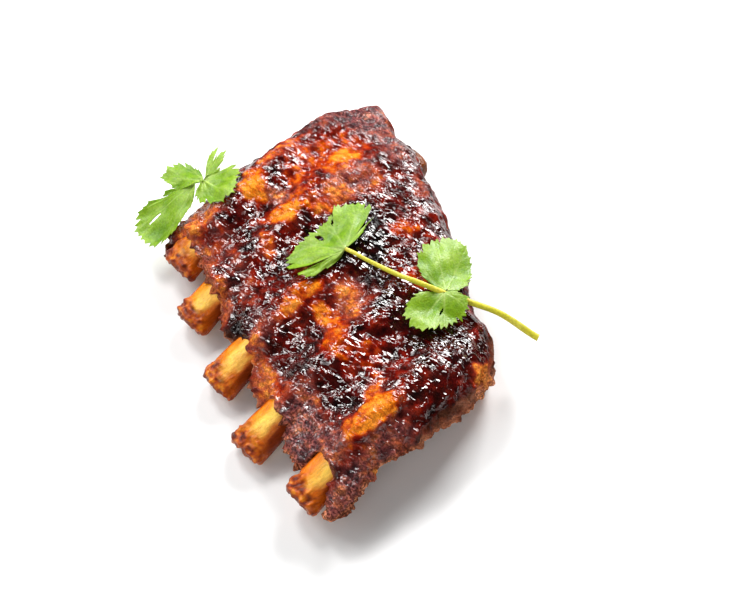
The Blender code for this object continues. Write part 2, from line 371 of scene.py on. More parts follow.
# The swelling over each bone: its height and half width, and the t between which it rises and fades out
SWELLING, SWELLING_WIDTH, SWELLING_RISE, SWELLING_FADE = 1.1, 5.5, (14, 26), (55, 85)
SWELLING_WANDER = ((1.4, 20, 9),)
BARE_RIDGE, BARE_RIDGE_HEIGHT = (111, 42, 13.5, 5.5, 84), 1.5  # the last bone, showing through thin meat
TIP_EDGE, NEAR_END = (14, 24), (112, 120)  # t over which the torn tip edge ends, and s over which the near end begins
# Shreds stand along the tip edge, up to this t, and along the near end, from this s and up to the second t
SHRED_TIP_EDGE, SHRED_NEAR_END, SHRED_NEAR_WIDTH, SHRED_FOOT = 19, 118, 34, 3.0 * MM
SHRED_GAP, SHRED_REACH, SHRED_LENGTH, SHRED_SIZES = 3.0 * MM, 1.9 * MM, 2.6 * MM, (0.4, 1.0)
SHRED_POWER, SHRED_DROOP, SHRED_SEEDS = 1.3, 0.25, (17, 18)
# Colours of the glossy glaze, from pooled black through red to the thin yellow-orange over bone, and of dry meat
GLAZED = [
    (0.00, (0.005, 0.002, 0.0015)),
    (0.15, (0.022, 0.003, 0.002)),
    (0.35, (0.085, 0.004, 0.0012)),
    (0.50, (0.210, 0.009, 0.0015)),
    (0.65, (0.385, 0.038, 0.002)),
    (0.80, (0.560, 0.108, 0.004)),
    (1.00, (0.720, 0.215, 0.012)),
]
DRIED = [
    (0.00, (0.014, 0.008, 0.010)),
    (0.25, (0.095, 0.028, 0.030)),
    (0.40, (0.185, 0.056, 0.048)),
    (0.60, (0.290, 0.092, 0.046)),
    (0.80, (0.440, 0.150, 0.036)),
    (1.00, (0.560, 0.240, 0.070)),
]
CUT_SIDE = [(-1.0, (0.090, 0.024, 0.014)), (0.0, (0.250, 0.080, 0.040)), (1.0, (0.500, 0.205, 0.110))]
DARKEST = 0.003
# Noises of the look, each as (amount, size, seed): they shift the layout's borders, then mottle its tones
BORDER_SHIFT_S = ((1.8, 6, 21), (0.9, 2.6, 22))
BORDER_SHIFT_T = ((1.8, 6, 23), (0.9, 2.6, 24))
BLOTCHES = ((0.20, 6.5, 31), (0.22, 2.9, 32), (0.10, 1.5, 33))
PALE_MOTTLE = ((0.24, 2.2, 34), (0.20, 1.3, 35))
DRY_MOTTLE = ((0.20, 3, 51),)
DRIED_MOTTLE = ((0.10, 1.3, 52),)
POOLS = ((1.0, 6.5, 53), (0.6, 3, 54))
FLESH = ((1.0, 7, 61), (0.5, 3.5, 62), (0.25, 1.75, 63))
# The t over which the loin wall begins, and the t and the s over which the paler flesh of the near corner begins
LOIN_WALL, NEAR_CORNER = (95, 105), ((60, 100), (112, 118))
DULLED = [(0.60, (8, 88, 30, 24, 0)), (0.25, (62, 92, 26, 16, 0))]  # ovals where the coat is thinner, and by how much
GLAZE_TONE, GLAZE_DRY = 0.27, 0.04
# The top's ovals, each laid over those before it: tone, dryness, then s, t, half length, half width and turn
LAYOUT = [
    (0.22, 0.00, 22, 104, 24, 7, 0), (0.36, 0.80, 2, 102, 15, 9, 20), (0.34, 0.60, -6, 86, 6, 14, 0),
    (0.62, 0.05, 14, 82, 14, 10, 75), (0.80, 0.10, 15, 84, 9, 4, 80), (0.60, 0.60, 28, 79, 15, 8, 85),
    (0.70, 0.25, 31, 67, 8, 5, 60), (0.50, 0.05, 9, 64, 14, 9, 30), (0.78, 0.20, -4, 60, 14, 3.5, 88),
    (0.72, 0.10, 5, 69, 6, 3, 0), (0.70, 0.10, 20, 57, 8, 6, 70), (0.95, 0.10, 21, 50, 6.5, 3.8, 50),
    (0.30, 0.00, 12, 46, 6, 4, 0), (1.00, 0.10, 2, 46, 7, 5.5, 20), (0.62, 0.20, 27, 39, 7, 4, 10),
    (0.22, 0.00, 16, 33, 19, 5, 0), (0.36, 0.30, 24, 25, 22, 5, 0), (0.72, 0.50, -5, 22, 12, 7, 80),
    (0.58, 0.60, 10, 16, 10, 5, 0), (0.68, 0.55, 30, 15, 9, 5, 0), (0.05, 0.10, 44, 15, 6, 6, 0),
    (0.68, 0.55, 56, 17, 8, 4.5, 0), (0.42, 0.50, 50, 24, 7, 5, 0), (0.30, 0.00, 43, 35, 10, 7, 30),
    (0.80, 0.10, 53, 44, 8, 4, 60), (0.86, 0.25, 53, 35, 6, 4, 80), (0.88, 0.10, 66, 46, 7, 4.5, 10),
    (0.54, 0.00, 79, 43, 11, 8, 0), (0.68, 0.05, 77, 47, 6, 3.5, 30), (0.64, 0.50, 68, 57, 10, 7, 0),
    (0.20, 0.00, 70, 27, 12, 6, 10), (0.68, 0.55, 69, 17, 14, 5, 0), (0.56, 0.20, 75, 21, 6, 3, 0),
    (0.55, 0.70, 85, 27, 7, 6, 0), (0.18, 0.00, 91, 36, 13, 6, 10), (0.38, 0.95, 95, 18, 14, 10, 10),
    (0.45, 0.00, 93, 51, 10, 8, 0), (0.70, 0.10, 105, 47, 5, 4, 0), (1.00, 0.15, *BARE_RIDGE),
    (0.48, 0.70, 110, 25, 7, 6, 0), (0.36, 0.70, 122, 42, 6, 14, 0), (0.62, 0.60, 122, 33, 5, 5, 0),
    (0.28, 0.85, 124, 14, 8, 9, 0), (0.08, 0.00, 50, 72, 15, 17, 0), (0.58, 0.05, 56, 89, 8, 5, 70),
    (0.36, 0.50, 45, 105, 9, 5, 0), (0.66, 0.05, 79, 84, 8, 6, 30), (0.16, 0.00, 92, 71, 25, 9, 5),
    (0.18, 0.00, 108, 82, 14, 9, 0), (0.34, 0.00, 92, 62, 14, 4, 10),
    (0.38, 0.95, 97, 19, 12, 8, 0), (0.35, 0.70, 14, 105, 22, 6, 0), (0.30, 0.90, 0, 99, 11, 9, 0),
    (0.40, 0.90, 125, 24, 7, 12, 0), (0.55, 0.20, 102, 49, 4, 4, 0), (0.84, 0.50, 122.5, 90, 4, 7, 0),
    (0.60, 0.70, 12, 52, 6, 3, 40), (0.74, 0.60, 47, 51, 6, 3, 60),
]


def layout(s, t):
    """(tone, dryness) of the meat at slab coordinates."""
    tone, dry = np.full(len(s), GLAZE_TONE), np.full(len(s), GLAZE_DRY)
    for place_tone, place_dry, *place in LAYOUT:
        share = smooth(0.02, 0.95, patch(s, t, place))
        tone += (place_tone - tone) * share
        dry += (place_dry - dry) * share
    return tone, dry


def tunnel_fillings():
    """Each bone's CAD solid, swollen a little and without its bare tip, to close the tunnels in the meat."""
    found = []
    for number, start in enumerate(TUNNEL_STARTS, 1):
        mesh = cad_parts[f"bone_{number}"].data
        points = points_of(mesh)
        _, t = slab(points)
        swollen = points + normals_of(mesh) * TUNNEL_FILL
        shift = np.clip(start - t, 0, None) * MM
        swollen[:, 0] -= shift * sin(SKEW)
        swollen[:, 1] += shift * cos(SKEW)
        order = np.argsort(t)
        level = np.interp(start, t[order], points[order, 2])
        bare = t < start
        swollen[bare, 2] += level - points[bare, 2].mean()
        found.append((swollen, faces_of(mesh)))
    return found


def meat_relief(points, normals):
    """How far each point of the meat stands out from the plain slab, in millimetres, and the parts of that."""
    s, t = slab(points)
    upward = normals[:, 2]
    topside = smooth(-0.2, 0.5, upward)
    _, dry = layout(s, t)
    along = points @ np.array([cos(FIBRE_TURN), sin(FIBRE_TURN), 0])
    across = points @ np.array([-sin(FIBRE_TURN), cos(FIBRE_TURN), 0]) + layers(points, FIBRE_WANDER) * MM
    fibre_points = np.stack([along, across, points[:, 2]], axis=1)
    depth, size, seed = FIBRE_CREASES
    fibres = depth * ridged(fibre_points, size, seed) + layers(fibre_points, FIBRE_SWELLS)
    lumps, pebbles = layers(points, LUMPS), layers(points, PEBBLES)
    depth, size, seed = CREASES
    creases = -depth * smooth(0.82, 1.0, ridged(points, size, seed)) * topside
    wavy = layers(points, SWELLING_WANDER, s)
    over_bones = np.max([bump(place, SWELLING_WIDTH, wavy) for place in BONE_PLACES], axis=0)
    over_bones *= SWELLING * topside * smooth(*SWELLING_RISE, t) * (1 - smooth(*SWELLING_FADE, t))
    bare_ridge = BARE_RIDGE_HEIGHT * smooth(0.25, 0.55, patch(s, t, BARE_RIDGE)) * topside
    fibres_left = 1 - FIBRES_LOST * dry
    relief = lumps + pebbles + fibres * fibres_left + creases + over_bones + bare_ridge
    relief += dry * layers(points, DRY_GRAIN)
    rim = (1 - smooth(0.3, 0.8, upward)) * np.maximum(1 - smooth(*TIP_EDGE, t), smooth(*NEAR_END, s))
    height, size, seed = EDGE_TAGS
    relief += rim * (layers(points, EDGE_LUMPS) + height * np.maximum(0, noise(points, size, seed)))
    return relief, lumps, pebbles, fibres, topside


def shreds(points, normals):
    """Small torn spikes along the thin edges of the slab, as moves of the points."""
    s, t = slab(points)
    steep = (np.abs(normals[:, 2]) < 0.75) & (points[:, 2] > SHRED_FOOT)
    at_tips = (t < SHRED_TIP_EDGE) & (normals[:, 1] < 0.2)
    at_near_end = (s > SHRED_NEAR_END) & (t < SHRED_NEAR_WIDTH)
    order = np.random.default_rng(SHRED_SEEDS[0]).permutation(np.flatnonzero(steep & (at_tips | at_near_end)))
    seeds = []
    for index in order:
        apart = [np.linalg.norm(points[index] - points[other]) for other in seeds]
        if not apart or min(apart) > SHRED_GAP:
            seeds.append(index)
    sizes = np.random.default_rng(SHRED_SEEDS[1]).uniform(*SHRED_SIZES, len(seeds))
    moves = np.zeros(points.shape)
    for index, size in zip(seeds, sizes):
        near = np.clip(1 - np.linalg.norm(points - points[index], axis=1) / SHRED_REACH, 0, None)
        way = normals[index] * (1, 1, 0.2) - (0, 0, SHRED_DROOP)
        moves += (SHRED_LENGTH * size * near**SHRED_POWER)[:, None] * way
    return moves


def meat_look(points, normals, relief_parts):
    """Colour, gloss and dryness at each point of the meat."""
    lumps, pebbles, fibres, topside = relief_parts
    upward = normals[:, 2]
    s, t = slab(points)
    s, t = layers(points, BORDER_SHIFT_S, s), layers(points, BORDER_SHIFT_T, t)
    tone, dry = layout(s, t)
    tone = tone + layers(points, BLOTCHES) * (0.75 + 0.5 * smooth(0.1, 0.5, tone))
    tone += 0.05 * lumps + 0.07 * pebbles + 0.06 * fibres
    tone += smooth(0.55, 0.8, tone) * (layers(points, PALE_MOTTLE) - 0.03)
    dry = np.clip(layers(points, DRY_MOTTLE, dry), 0, 1)
    dried = blend_colours(DRIED, layers(points, DRIED_MOTTLE, tone))
    colours = towards(blend_colours(GLAZED, tone), dried, dry)
    loin_wall = smooth(0.2, 0.7, normals[:, 1]) * smooth(*LOIN_WALL, t)
    roasted_edge = smooth(0.6, 0.9, tone) * smooth(-0.5, 0.0, upward)
    side = (1 - topside) * (1 - 0.5 * roasted_edge) * (1 - 0.7 * loin_wall)
    near_corner = smooth(*NEAR_CORNER[0], t) * smooth(*NEAR_CORNER[1], s)
    flesh = blend_colours(CUT_SIDE, 1.3 * layers(points, FLESH) + 0.8 * near_corner)
    colours = towards(colours, flesh, side)
    pools = smooth(-0.50, 0.12, layers(points, POOLS) - 0.5 * (tone - 0.35))
    gloss = np.clip(1.05 - 0.4 * dry - 0.8 * side - 0.65 * smooth(0.5, 0.8, tone), 0, 1) * (0.12 + 0.88 * pools)
    gloss *= 1 - (0.85 - 0.4 * loin_wall) * (1 - smooth(0.35, 0.85, upward))
    gloss *= 1 - sum(share * patch(s, t, place) for share, place in DULLED)
    return np.clip(colours, DARKEST, 1), gloss, np.clip(dry + 0.5 * side, 0, 1)


def meat_material():
    sh = Shader(
        "glazed_meat",
        Specular_IOR_Level=0.0,
        Subsurface_Weight=0.04,
        Subsurface_Radius=(0.8, 0.25, 0.1),
        Subsurface_Scale=2 * MM,
        Coat_Roughness=0.05,
        Coat_IOR=1.8,
    )
    tone, gloss, dry = sh.attribute("tone", True), sh.attribute("gloss"), sh.attribute("dry")
    fibres = sh.noise(sh.place((6.5, 2.0, 2.0), FIBRE_TURN), 2, 0.36, 0.7)
    blisters = sh.noise(sh.place(4.2), 1, 0.35, 0.6)
    grain = sh.noise(sh.place(0.55), 2, 0.6)
    crust = sh.noise(sh.place(0.95), 0, 0.5, 0.5)
    # Painted sparkle: on dry meat the colour gets light specks that stand for tiny glints, beside darker specks of
    # mottle
    specks_and_painted_sparkle = sh.ramp(crust, 0.42, 0.68, -0.42, 1.20)
    grain_and_painted_sparkle = sh.times_plus(specks_and_painted_sparkle, sh.math("MULTIPLY", dry, dry), sh.ramp(grain, 0.32, 0.68, 0.70, 1.35))
    sh.to("Base Color", sh.shaded(tone, grain_and_painted_sparkle))
    wet = sh.times_plus(blisters, 0.9, fibres)
    height = sh.times_plus(grain, sh.times_plus(dry, 0.35, 0.05), wet)
    speckled = sh.math("MAXIMUM", sh.times_plus(dry, 0.60, -0.18), 0.0)
    sh.to("Normal", sh.bump(height, 1.0 * MM))
    sh.to("Coat Normal", sh.bump(sh.times_plus(crust, speckled, wet), 1.4 * MM))
    sh.to("Coat Weight", gloss)
    sh.to("Roughness", sh.times_plus(gloss, -0.12, 0.52))
    return sh.material


def make_meat():
    mesh = remeshed("meat_look", [solid_of("meat"), *tunnel_fillings()], MEAT_VOXEL, MEAT_ROUNDS)
    points, normals = points_of(mesh), normals_of(mesh)
    relief, *relief_parts = meat_relief(points, normals)
    moved = points + normals * ((relief - RELIEF_LEVEL) * MM)[:, None]
    moved += shreds(points, normals)
    moved = points + (moved - points) * smooth(*FLAT_FOOT, points[:, 2] / MM)[:, None]
    moved = relax(moved, edges_of(mesh), 1, RELIEF_RELAX)
    low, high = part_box("meat")
    moved = np.clip(moved, np.array(low), np.array(high) + (0, 0, TOP_ROOM))
    set_points(mesh, moved)
    for name, values in zip(("tone", "gloss", "dry"), meat_look(moved, normals, relief_parts)):
        store(mesh, name, values)
    mesh.shade_smooth()
    finish_piece("glazed_meat", mesh, meat_material(), "meat")
    return mesh


# ---------------------------------------------------------------- bones

BONE_VOXEL, BONE_ROUNDS = 0.55 * MM, 5
BURNT, ROASTED_TO = (4.5, 8.5), (4.0, 12.0)  # how far from the tip the char and the roasted part fade out
KNOB = (55, 70)  # t between which a bone turns glazed
CHAR_PITS, CHAR_SWELL, SAWN_DEPTH = ((1.0, 2.8, 71), (0.6, 1.5, 72)), 0.25, 0.35
CHAR_MOTTLE = ((1.3, 2.2, 76), (0.7, 1.1, 77))
# Colours round a bone by the way its surface faces: deep yellow-orange on the left side, a painted cream highlight
# along the top and painted shade on the right side
BONE_LIT_TO_SHADED = [
    (-1.2, (0.420, 0.070, 0.002)),
    (-0.75, (0.700, 0.175, 0.003)),
    (-0.50, (0.820, 0.320, 0.008)),
    (-0.28, (0.920, 0.600, 0.085)),
    (-0.14, (0.880, 0.535, 0.090)),
    (0.14, (0.420, 0.100, 0.012)),
    (0.40, (0.180, 0.024, 0.003)),
]
BURNT_END = [
    (-1.0, (0.060, 0.008, 0.005)),
    (-0.3, (0.210, 0.026, 0.005)),
    (0.3, (0.440, 0.075, 0.005)),
    (1.0, (0.660, 0.210, 0.014)),
]
ROASTED = (0.580, 0.110, 0.003)
ROAST_SHARE = {1: 0.55, 2: 0.30, 3: 0.10, 4: 0.0, 5: 0.35}
SAWN_FACE = (0.190, 0.050, 0.022)
BONE_ROUGHNESS, CHAR_ROUGHER, KNOB_SMOOTHER = 0.27, 0.10, 0.10
GLAZED_KNOB = (0.155, 0.040, 0.010)


def bone_material():
    sh = Shader(
        "bare_bone",
        Specular_IOR_Level=0.25,
        Subsurface_Weight=0.06,
        Subsurface_Radius=(1.0, 0.6, 0.3),
        Subsurface_Scale=1.5 * MM,
    )
    streaks = sh.noise(sh.place((0.6, 9, 0.6), SKEW), 2, 0.6)
    grain = sh.noise(sh.place(0.6), 2, 0.6)
    sh.to("Base Color", sh.shaded(sh.attribute("tone", True), sh.ramp(streaks, 0.32, 0.68, 0.86, 1.12)))
    sh.to("Normal", sh.bump(sh.times_plus(grain, 0.4, streaks), 0.4 * MM, 0.6))
    sh.to("Roughness", sh.attribute("rough"))
    return sh.material


def bone_colours(number, points, normals, rim, burnt, sawn):
    """Colours of a bone: set by the way each point faces, with a painted cream highlight along the top and painted
    shade on the right side, striped along its length, roasted towards the tip and burnt at it.
    """
    along = np.stack([points[:, 0] + points[:, 1] * np.tan(SKEW), points[:, 1], points[:, 2]], axis=1)
    # Painted light: the colour follows the way each point faces, deep orange to the left, a painted highlight on top
    # and painted shade to the right
    lit_to_shaded = 1.1 * normals[:, 0] - 0.35 - 0.3 * np.clip(-normals[:, 2], 0, 1)
    lit_to_shaded = layers(along, ((0.22, (4, 30, 4), 73 + number), (0.12, (1.6, 20, 1.6), 74)), lit_to_shaded)
    colours = blend_colours(BONE_LIT_TO_SHADED, lit_to_shaded)
    colours = towards(colours, ROASTED, 0.8 * (1 - smooth(*ROASTED_TO, layers(points, ((1.5, 5, 79),), rim))))
    colours = towards(colours, ROASTED, ROAST_SHARE[number] * smooth(-0.6, 0.6, noise(points, 6, 80 + number)))
    colours = towards(colours, blend_colours(BURNT_END, layers(points, CHAR_MOTTLE)), burnt)
    return towards(colours, SAWN_FACE, 0.8 * sawn * smooth(-0.5, 0.3, noise(points, 2.5, 78) + 0.2))


def make_bone(number, material):
    """One bone. The first end is bare, burnt and sawn, and a far end that sticks out of the meat is a glazed knob."""
    node = f"bone_{number}"
    mesh = remeshed(f"bone_look_{number}", [solid_of(node)], BONE_VOXEL, BONE_ROUNDS)
    points, normals = points_of(mesh), normals_of(mesh)
    _, t = slab(points)
    rim = layers(points, ((2.6, 4.5, number), (1.4, 1.8, number + 20)), t - t.min())
    burnt = 1 - smooth(*BURNT, rim)
    sawn = smooth(0.55, 0.85, -normals[:, 1])
    relief = 0.22 * noise(points, (7, 14, 7), number + 10)
    relief += burnt * (layers(points, CHAR_PITS) + CHAR_SWELL) - SAWN_DEPTH * sawn
    low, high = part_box(node)
    set_points(mesh, np.clip(points + normals * (relief * MM)[:, None], np.array(low), np.array(high)))
    knob = smooth(*KNOB, t)
    glaze = np.array(GLAZED_KNOB) * np.exp(0.8 * noise(points, 3.5, 83))[:, None]
    colours = towards(bone_colours(number, points, normals, rim, burnt, sawn), glaze, knob)
    store(mesh, "tone", np.clip(colours, DARKEST, 1))
    store(mesh, "rough", BONE_ROUGHNESS + CHAR_ROUGHER * burnt - KNOB_SMOOTHER * knob)
    mesh.shade_smooth()
    finish_piece(f"bare_bone_{number}", mesh, material, node)


# ---------------------------------------------------------------- coriander

LEAF_ROWS, LEAF_STEPS = 20, 280
LEAF_WIDTH = LEAF_STEPS + 1
LEAF_THICKNESS, LEAF_CLEARANCE = 0.35 * MM, 0.35 * MM
LEAF_END = radians(12)  # how far a leaflet reaches past its first and last lobe
TOOTH_STEP, TOOTH_DEPTH = 2.4 * MM, 1.35 * MM
CLEFTS, CLEFT_WIDTH = (1.0 * MM, 2.6 * MM, 1.2 * MM, 2.0 * MM, 0.8 * MM), 0.50 * MM
VEIN_WIDTH, BRANCH_WIDTH, BRANCH_STARTS, BRANCH_SLANT = 0.32, 0.25, (0.45, 0.68), 0.5
VEIN_DEPTH = 0.06 * MM
GUIDE_NEIGHBOURS, GUIDE_CHUNK = 6, 2000  # the CAD points that give a height, and the heights found at a time
GUIDE_MEAN, GUIDE_ROUNDS = 14, 20  # smoothing of a leaf's heights before it is laid over the meat
COVER_MEAN, COVER_ROUNDS = 5, 3  # and after
LEAF_SWELL = ((1.2, 11), (0.6, 5), (0.25, 2.6))
# A stem's lift over the meat before and after smoothing, its room under the top of the CAD box, its sides and ribs
STEM_LIFT, STEM_ROOM, STEM_SIDES, STEM_RIBS, RIB_HEIGHT = (1.2 * MM, 1.1 * MM), 1.5 * MM, 14, 3, 0.05
CAST_HEIGHT = 0.08  # from where rays are cast down on the meat, in metres
# Greens from dark to light for the leaves and the short sprig's stem, then the vein colour and the long stem's colours:
# the tone that picks among the stops is partly random and partly painted light and shade
LEAF_STOPS = [(0.0, (0.080, 0.200, 0.002)), (0.5, (0.180, 0.320, 0.008)), (1.0, (0.330, 0.480, 0.060))]
VEIN = (0.340, 0.460, 0.110)
STEM_STOPS = [(0.0, (0.330, 0.380, 0.020)), (0.6, (0.620, 0.560, 0.040)), (1.0, (0.760, 0.680, 0.130))]
# In slab coordinates: a stem's places and its radii in millimetres, and each leaflet as its root, the tips of its
# lobes in order and any slits (s, t, half length, half width, turn). Leaflets rooted beyond s "lies_over" pass over the
# stem, from s "covered_from" on.
SPRIGS = {
    "sprig_long": {
        "stem": [(52.4, 63.1), (62.7, 69.2), (74.6, 76.7), (86.5, 86.2), (97, 96.6), (108.7, 107.4), (121.3, 116.6)],
        "radius": (0.68, 1.3),
        "steps": 90,
        "stops": STEM_STOPS,
        "lies_over": 80,
        "covered_from": 90.5,
        "leaves": [
            (
                (52.6, 63.1),
                [(50.5, 69), (49.5, 74), (47.5, 80), (43, 81.5), (38.5, 78.5), (35.5, 73.5), (33.5, 68.5), (36, 64)]
                + [(36.3, 59.5), (36, 54.5), (36, 49), (38, 42.5), (42, 40.8), (47, 42), (50.5, 44.5), (52.5, 48.5)]
                + [(52.6, 53), (51.2, 58)],
                [(38.6, 64.5, 1.2, 0.5, -30), (40.5, 57.3, 2.2, 0.9, 35)],
            ),
            (
                (90, 90.2),
                [(84, 86.5), (79.5, 84.5), (74.5, 85), (70.5, 87.5), (68.8, 91.5), (68.5, 96.5), (70, 101.5)]
                + [(73, 105.5), (77.5, 107.8), (83, 106.8), (88, 104), (92.3, 99.5), (92.5, 95)],
                [],
            ),
            (
                (90, 89),
                [(93.5, 94.5), (97, 97), (100, 95), (102, 91), (101.5, 86.5), (101.3, 82), (99.5, 77.5), (97.5, 73.5)]
                + [(93.4, 70.5), (88.2, 69.8), (85.5, 73), (84.2, 79), (86.5, 85)],
                [(95, 84.5, 1.6, 0.5, -60)],
            ),
        ],
    },
    "sprig_short": {
        "stem": [(-16.4, 28.8), (-15.4, 29.8), (-14.4, 30.6)],
        "radius": (0.45, 0.45),
        "steps": 16,
        "stops": LEAF_STOPS,
        "leaves": [
            (
                (-17, 27),
                [(-21.5, 18.5), (-24.5, 13.5), (-26.5, 8), (-27, 2.5), (-22.5, -1), (-15.5, 0), (-10.5, 2)]
                + [(-8.5, 6.5), (-7.8, 11), (-8.8, 15.5), (-10.5, 19.5)],
                [(-19.5, 8, 3.0, 0.5, 85)],
            ),
            (
                (-15, 30),
                [(-20.5, 21), (-28, 17.5), (-32.6, 16.5), (-33.6, 20), (-32, 24), (-28.8, 28), (-22.5, 30.3)],
                [],
            ),
            (
                (-14.8, 30.5),
                [(-15, 35.5), (-15, 38.5), (-17, 41.5), (-20, 43.5), (-23.8, 42.5), (-23.2, 39), (-19.5, 37)],
                [],
            ),
            (
                (-15.5, 30),
                [(-12.5, 24.5), (-6.5, 25), (-3.5, 28.5), (-0.5, 32.5), (0.3, 37), (-3, 40.5), (-7, 44)]
                + [(-11.5, 43.5), (-13.5, 38)],
                [],
            ),
        ],
    },
}


def leaf_outline(angles, turns, lengths, seed):
    """A leaflet's reach in each direction, in metres: an arc through its lobes' tips, cut by clefts and small teeth."""
    reach = np.interp(angles, turns, lengths)
    for side, tip in ((-1, turns[0]), (1, turns[-1])):
        past = np.clip(side * (angles - tip) / LEAF_END, 0, 1)
        reach *= np.cos(past * pi / 2) ** 0.5
    along = np.concatenate([[0], np.cumsum(np.hypot(np.diff(reach), np.diff(angles) * reach[1:]))])
    for index in range(len(turns) - 1):
        middle = np.interp(0.5 * (turns[index] + turns[index + 1]), angles, along)
        depth = CLEFTS[(index + seed) % len(CLEFTS)]
        reach = reach - depth * np.exp(-((np.abs(along - middle) / CLEFT_WIDTH) ** 1.2))
    walk = np.stack([along, np.zeros(len(along)), np.full(len(along), seed * MM)], axis=1)
    phase = along / TOOTH_STEP + 0.35 * noise(walk, 3, seed)
    return reach - TOOTH_DEPTH * (1 + 0.5 * noise(walk, 2, seed + 1)) * (np.abs(np.sin(pi * phase)) ** 0.8 - 0.3)


def running_mean(values, count):
    """The mean over 2 count + 1 values."""
    padded = np.pad(values, count, mode="edge")
    return np.convolve(padded, np.ones(2 * count + 1) / (2 * count + 1), "valid")


def mean_along_rows(values, count):
    """The running mean along each row of a leaf's grid."""
    return np.apply_along_axis(running_mean, 1, values.reshape(-1, LEAF_WIDTH), count).ravel()


def guide_heights(name, x, y):
    """The height of the nearest points in plan of a sprig's CAD solid."""
    points = points_of(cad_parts[name].data)
    heights = np.empty(len(x))
    for start in range(0, len(x), GUIDE_CHUNK):
        chunk = slice(start, start + GUIDE_CHUNK)
        apart = (x[chunk, None] - points[None, :, 0]) ** 2 + (y[chunk, None] - points[None, :, 1]) ** 2
        nearest = np.argsort(apart, axis=1)[:, :GUIDE_NEIGHBOURS]
        weight = 1 / (np.take_along_axis(apart, nearest, 1) + 1e-7)
        heights[chunk] = (points[nearest, 2] * weight).sum(1) / weight.sum(1)
    return heights


def above(tree, x, y, z, clearance):
    """Heights raised where needed so that they clear the tree's surface."""
    out = z.copy()
    for index in range(len(x)):
        hit = tree.ray_cast(Vector((x[index], y[index], CAST_HEIGHT)), Vector((0, 0, -1)))[0]
        if hit is not None:
            out[index] = max(z[index], hit.z + clearance)
    return out


def leaf_grid():
    """The edges of a leaf's grid of points."""
    index = np.arange((LEAF_ROWS + 1) * LEAF_WIDTH).reshape(-1, LEAF_WIDTH)
    along_rows = np.stack([index[:, :-1].ravel(), index[:, 1:].ravel()], axis=1)
    outwards = np.stack([index[:-1].ravel(), index[1:].ravel()], axis=1)
    return np.concatenate([along_rows, outwards])


def over_stem(x, y, z, stem):
    """Heights raised so that a leaf passes over a stem, given as rows of x, y and the height of its top."""
    apart = np.hypot(x[:, None] - stem[None, :, 0], y[:, None] - stem[None, :, 1]) / MM
    lift = stem[None, :, 2] + LEAF_CLEARANCE - 0.12 * MM * np.clip(apart - 1.2, 0, None) ** 1.5
    return np.maximum(z, np.where(apart < 9, lift, 0).max(axis=1))


def leaf_heights(name, tree, root, out, angle, even, reach, seed, cover):
    """A leaf's heights, worked out on a grid of even radii without teeth and then read at each point's true reach."""
    x, y = (root[0] + even * np.cos(angle)).ravel(), (root[1] + even * np.sin(angle)).ravel()
    edges = leaf_grid()
    flat = np.stack([x, y, np.full(len(x), seed * 0.01)], axis=1)
    z = relax(mean_along_rows(guide_heights(name, x, y), GUIDE_MEAN)[:, None], edges, GUIDE_ROUNDS)[:, 0]
    swell = layers(flat, [(amount, size, seed + n) for n, (amount, size) in enumerate(LEAF_SWELL)])
    z = z + MM * (swell * smooth(0.0, 0.5, out.ravel()) - 0.1)
    z = above(tree, x, y, z, LEAF_CLEARANCE + 0.1 * MM)
    if cover is not None:
        z = over_stem(x, y, z, cover)
    z = relax(mean_along_rows(z, COVER_MEAN)[:, None], edges, COVER_ROUNDS).reshape(out.shape)
    columns = [np.interp(reach[:, n], even[:, n], z[:, n]) for n in range(LEAF_WIDTH)]
    slope = (z[-1] - z[-4]) / (even[-1] - even[-4])
    return (np.stack(columns, axis=1) + np.clip(reach - even[-1], 0, None) * slope).ravel()


def lobe_directions(root, tips):
    """The direction of each lobe's tip from the root and its distance in metres, in order of direction."""
    turns, lengths = [], []
    for tip in tips:
        x, y = row_point(*tip)
        turn = atan2(y - root[1], x - root[0])
        if turns:
            turn = turns[-1] + (turn - turns[-1] + pi) % (2 * pi) - pi
        turns.append(turn)
        lengths.append(np.hypot(x - root[0], y - root[1]))
    order = np.argsort(turns)
    return np.array(turns)[order], np.array(lengths)[order]


def leaf_veins(turns, lengths, angle, reach):
    """How strongly a vein shows at each point. Every third lobe has one, with two pairs of branches."""
    veins = np.zeros(len(angle))
    for turn, length in list(zip(turns, lengths))[1::3]:
        across = (angle - turn) * reach / MM
        veins = np.maximum(veins, np.exp(-((across / VEIN_WIDTH) ** 2)) * (1 - 0.6 * reach / length))
        for side, start in product((-1, 1), BRANCH_STARTS):
            branch = across - side * np.clip(reach - start * length, 0, None) / MM * BRANCH_SLANT
            along = smooth(start, start + 0.02, reach / length)
            along *= 1 - smooth(start + 0.2, start + 0.32, reach / length)
            veins = np.maximum(veins, 0.6 * np.exp(-((branch / BRANCH_WIDTH) ** 2)) * along)
    return veins


def leaf_faces(upper, slits):
    """The faces over and under a leaf's grid of points, with walls round its edge and round each slit."""
    corners = (np.arange(LEAF_ROWS)[:, None] * LEAF_WIDTH + np.arange(LEAF_STEPS)[None, :]).ravel()
    s, t = slab((upper[corners] + upper[corners + LEAF_WIDTH + 1]) / 2)
    kept = np.ones(len(corners), bool)
    for slit in slits:
        kept &= patch(s, t, slit) < exp(-1)
    kept = np.pad(kept.reshape(LEAF_ROWS, LEAF_STEPS), 1)
    faces = []
    for row, step in np.ndindex(LEAF_ROWS, LEAF_STEPS):
        if not kept[row + 1, step + 1]:
            continue
        a = row * LEAF_WIDTH + step
        quad = [a, a + LEAF_WIDTH, a + LEAF_WIDTH + 1, a + 1]
        faces.append(quad)
        faces.append([index + len(upper) for index in reversed(quad)])
        beside = (kept[row + 1, step], kept[row + 2, step + 1], kept[row + 1, step + 2], kept[row, step + 1])
        for side, closed in enumerate(beside):
            if not closed:
                here, after = quad[side], quad[(side + 1) % 4]
                faces.append([after, here, here + len(upper), after + len(upper)])
    return faces


